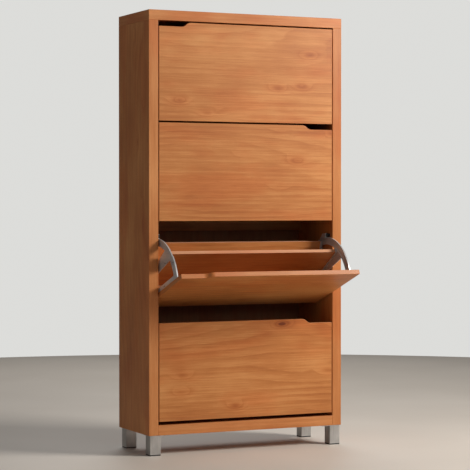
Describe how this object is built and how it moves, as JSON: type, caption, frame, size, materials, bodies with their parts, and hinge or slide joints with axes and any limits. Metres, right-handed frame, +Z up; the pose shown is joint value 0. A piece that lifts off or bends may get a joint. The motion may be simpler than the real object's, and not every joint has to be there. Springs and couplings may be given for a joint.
{
  "type": "shoe cabinet",
  "caption": "Tall shallow shoe cabinet in a thick wood-grain frame on short square metal legs, with tilting flap-fronted bins that each hold two rows of shoes.",
  "frame": {"origin": "on the floor, below the middle of the whole cabinet's bounding box with its third bin open, as stored", "axes": "+Z up, -Y the side that the bins open to, +X to the right seen from the front"},
  "size_m": [0.75, 0.4862, 1.535],
  "materials": {
    "frame_wood": "satin cherry-coloured melamine with vertical grain",
    "flap_wood": "satin cherry-coloured melamine with a figured horizontal grain",
    "board_wood": "satin melamine board with a light edge band",
    "back_board": "thin printed fibreboard",
    "strip_plastic": "brown extruded plastic",
    "bracket_plastic": "silver-grey moulded plastic with a fine texture",
    "leg_metal": "brushed, satin",
    "plate_metal": "zinc-plated, dull",
    "glide_plastic": "black",
    "screw_steel": "zinc-plated",
    "cam_metal": "dull cast zinc",
    "dowel_wood": "raw beech",
    "peg_rubber": "matt black"
  },
  "bodies": {
    "cabinet": {"side_panel_left": "frame_wood", "side_panel_right": "frame_wood", "top_panel": "frame_wood", "bottom_panel": "frame_wood", "rear_rail": "board_wood", "back_panel_upper": "back_board", "back_panel_lower": "back_board", "back_joint_strip": "strip_plastic", "leg_front_left": "leg_metal", "leg_front_right": "leg_metal", "leg_rear_left": "leg_metal", "leg_rear_right": "leg_metal", "leg_plates": "plate_metal", "leg_glides": "glide_plastic", "leg_screws": "screw_steel", "pivot_screws": "screw_steel", "stop_peg_screws": "screw_steel", "back_screws": "screw_steel", "wall_bracket_screws": "screw_steel", "case_dowels": "dowel_wood", "cam_bolts": "screw_steel", "cam_discs": "cam_metal", "wall_brackets": "plate_metal", "pivot_plates_left": "plate_metal", "pivot_plates_right": "plate_metal", "stop_pegs": "peg_rubber"},
    "bin_1": {"flap_1": "flap_wood", "bracket_left_1": "bracket_plastic", "bracket_right_1": "bracket_plastic", "divider_1": "board_wood", "rear_board_1": "board_wood", "pocket_floor_1": "board_wood", "bracket_screws_1": "screw_steel"},
    "bin_2": {"flap_2": "flap_wood", "bracket_left_2": "bracket_plastic", "bracket_right_2": "bracket_plastic", "divider_2": "board_wood", "rear_board_2": "board_wood", "pocket_floor_2": "board_wood", "bracket_screws_2": "screw_steel"},
    "bin_3": {"flap_3": "flap_wood", "bracket_left_3": "bracket_plastic", "bracket_right_3": "bracket_plastic", "divider_3": "board_wood", "rear_board_3": "board_wood", "pocket_floor_3": "board_wood", "bracket_screws_3": "screw_steel"},
    "bin_4": {"flap_4": "flap_wood", "bracket_left_4": "bracket_plastic", "bracket_right_4": "bracket_plastic", "divider_4": "board_wood", "rear_board_4": "board_wood", "pocket_floor_4": "board_wood", "bracket_screws_4": "screw_steel"}
  },
  "joints": [
    {"name": "bin_1_tilt", "type": "hinge", "parent": "cabinet", "child": "bin_1", "pos_m": [0, -0.01187, 1.258], "axis": [1, 0, 0], "range_deg": [0, 70]},
    {"name": "bin_2_tilt", "type": "hinge", "parent": "cabinet", "child": "bin_2", "pos_m": [0, -0.01187, 0.912], "axis": [1, 0, 0], "range_deg": [0, 70]},
    {"name": "bin_3_tilt", "type": "hinge", "parent": "cabinet", "child": "bin_3", "pos_m": [0, -0.01187, 0.566], "axis": [1, 0, 0], "range_deg": [-70, 0]},
    {"name": "bin_4_tilt", "type": "hinge", "parent": "cabinet", "child": "bin_4", "pos_m": [0, -0.01187, 0.22], "axis": [1, 0, 0], "range_deg": [0, 70]}
  ]
}
